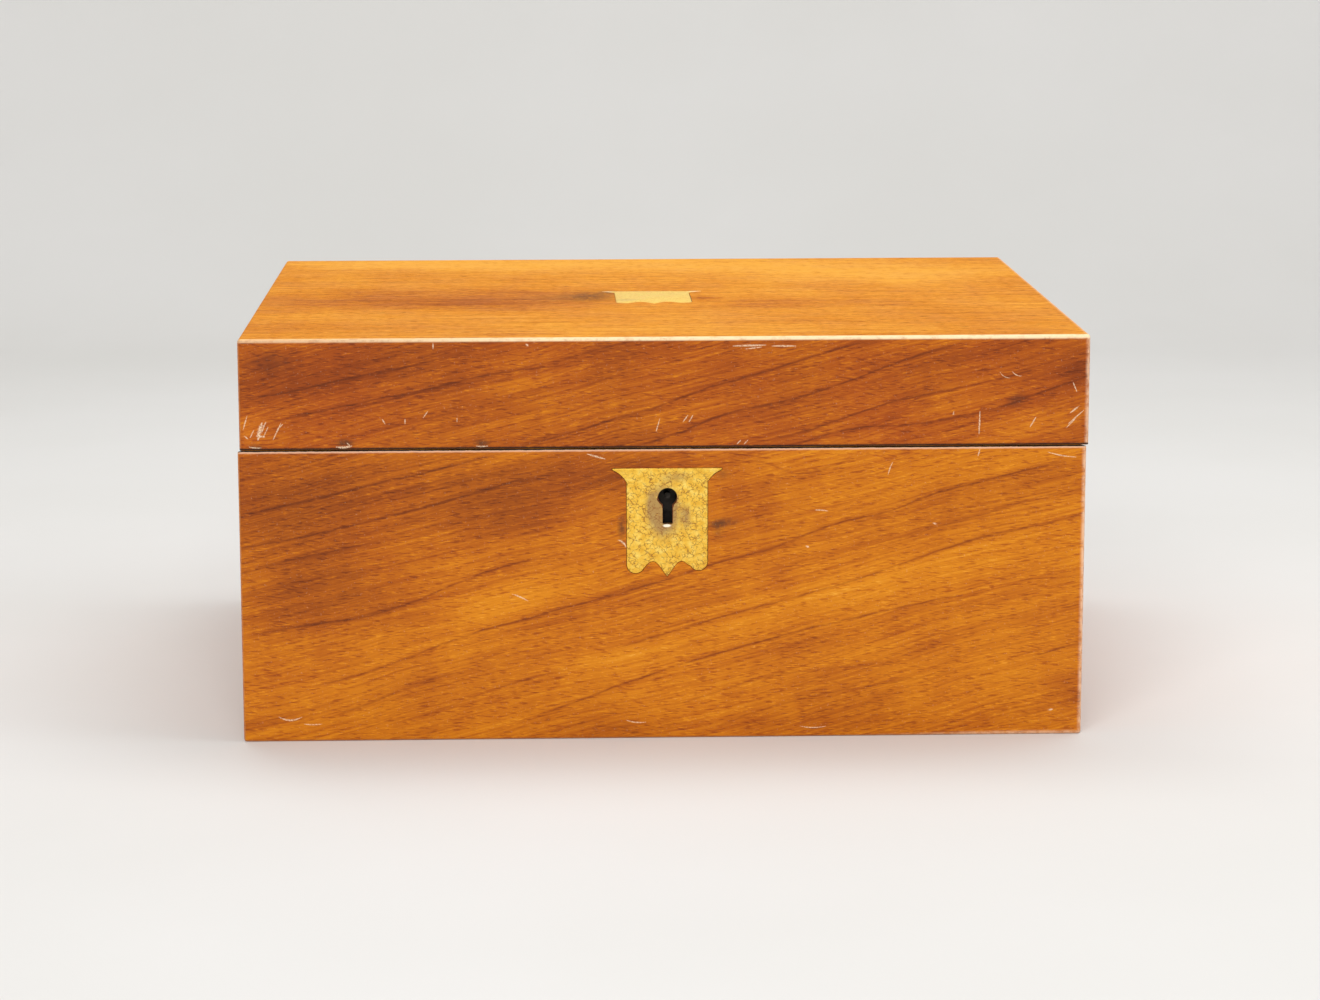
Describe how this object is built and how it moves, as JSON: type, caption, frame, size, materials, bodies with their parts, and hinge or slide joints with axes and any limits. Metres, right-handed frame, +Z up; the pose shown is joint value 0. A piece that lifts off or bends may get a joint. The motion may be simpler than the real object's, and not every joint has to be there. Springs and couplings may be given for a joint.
{
  "type": "lap desk",
  "caption": "Veneered wooden writing slope that folds into a box, with hinged lid, leather writing flaps, pen tray, glass inkwells, lock and inlaid brass escutcheon.",
  "frame": {"origin": "centre of the underside of the base, on the surface it stands on", "axes": "+X to the right seen from the lock side, +Y from the lock side to the hinges, +Z up"},
  "size_m": [0.3057, 0.2568, 0.1471],
  "materials": {
    "veneer": "french-polished veneer, worn",
    "carcass_wood": "plain planed mahogany",
    "brass": "aged, slightly tarnished",
    "lock_steel": "dull wrought iron",
    "glass": "clear moulded glass",
    "leather": "thin skiver with a tooled border",
    "ribbon": "woven silk ribbon"
  },
  "bodies": {
    "base": {"base_front_board": "carcass_wood", "base_back_board": "carcass_wood", "base_left_board": "carcass_wood", "base_right_board": "carcass_wood", "base_bottom_board": "carcass_wood", "base_front_veneer": "veneer", "base_back_veneer": "veneer", "base_left_veneer": "veneer", "base_right_veneer": "veneer", "base_hinge_rail": "carcass_wood", "base_left_ledge": "carcass_wood", "base_right_ledge": "carcass_wood", "pen_rail": "carcass_wood", "pen_section_floor": "carcass_wood", "left_well_divider": "carcass_wood", "right_well_divider": "carcass_wood", "pen_tray": "carcass_wood", "left_inkwell": "glass", "right_inkwell": "glass", "escutcheon": "brass", "lock_case": "brass", "lock_cover_plate": "brass", "left_hinge_base_leaf": "brass", "right_hinge_base_leaf": "brass", "left_hinge_pin": "brass", "right_hinge_pin": "brass", "upper_flap_left_fixed_leaf": "brass", "upper_flap_right_fixed_leaf": "brass"},
    "lid": {"lid_top_board": "carcass_wood", "lid_front_board": "carcass_wood", "lid_back_board": "carcass_wood", "lid_left_board": "carcass_wood", "lid_right_board": "carcass_wood", "lid_front_veneer": "veneer", "lid_back_veneer": "veneer", "lid_left_veneer": "veneer", "lid_right_veneer": "veneer", "lid_top_veneer": "veneer", "lid_hinge_rail": "carcass_wood", "lid_flap_ledge": "carcass_wood", "top_cartouche": "brass", "lock_link_plate": "brass", "left_hinge_lid_leaf": "brass", "right_hinge_lid_leaf": "brass", "lower_flap_left_fixed_leaf": "brass", "lower_flap_right_fixed_leaf": "brass"},
    "upper_flap": {"upper_flap": "carcass_wood", "upper_writing_leather": "leather", "upper_flap_tab": "ribbon", "upper_flap_left_moving_leaf": "brass", "upper_flap_right_moving_leaf": "brass"},
    "lower_flap": {"lower_flap": "carcass_wood", "lower_writing_leather": "leather", "lower_flap_tab": "ribbon", "lower_flap_left_moving_leaf": "brass", "lower_flap_right_moving_leaf": "brass"},
    "lock_bolt": {"lock_bolt": "lock_steel"},
    "turn_button": {"flap_turn_button": "brass"},
    "left_cap": {"left_inkwell_cap": "brass"},
    "right_cap": {"right_inkwell_cap": "brass"}
  },
  "joints": [
    {"name": "lid_hinge", "type": "hinge", "parent": "base", "child": "lid", "pos_m": [0, 0.1276, 0.07355], "axis": [-1, 0, 0], "range_deg": [0, 180]},
    {"name": "upper_flap_hinge", "type": "hinge", "parent": "base", "child": "upper_flap", "pos_m": [0, 0.10255, 0.07513], "axis": [-1, 0, 0], "range_deg": [0, 75]},
    {"name": "lower_flap_hinge", "type": "hinge", "parent": "lid", "child": "lower_flap", "pos_m": [0, 0.10112, 0.07874], "axis": [1, 0, 0], "range_deg": [0, 75]},
    {"name": "lock_bolt_slide", "type": "slide", "parent": "base", "child": "lock_bolt", "axis": [1, 0, 0], "range_m": [0, 0.004]},
    {"name": "turn_button_pivot", "type": "hinge", "parent": "lid", "child": "turn_button", "pos_m": [0.1, -0.12086, 0.10645], "axis": [0, 0.1303, 0.9915], "range_deg": [0, 90]},
    {"name": "left_cap_turn", "type": "hinge", "parent": "base", "child": "left_cap", "pos_m": [-0.1207, -0.0927, 0.09254], "axis": [0, 0, 1], "range_deg": [0, 360]},
    {"name": "right_cap_turn", "type": "hinge", "parent": "base", "child": "right_cap", "pos_m": [0.1207, -0.0927, 0.09254], "axis": [0, 0, 1], "range_deg": [0, 360]}
  ],
  "couplings": [
    {"joint": "upper_flap_hinge", "follows": "lid_hinge", "ratio": 0.4},
    {"joint": "lower_flap_hinge", "follows": "lid_hinge", "ratio": 0.4}
  ]
}
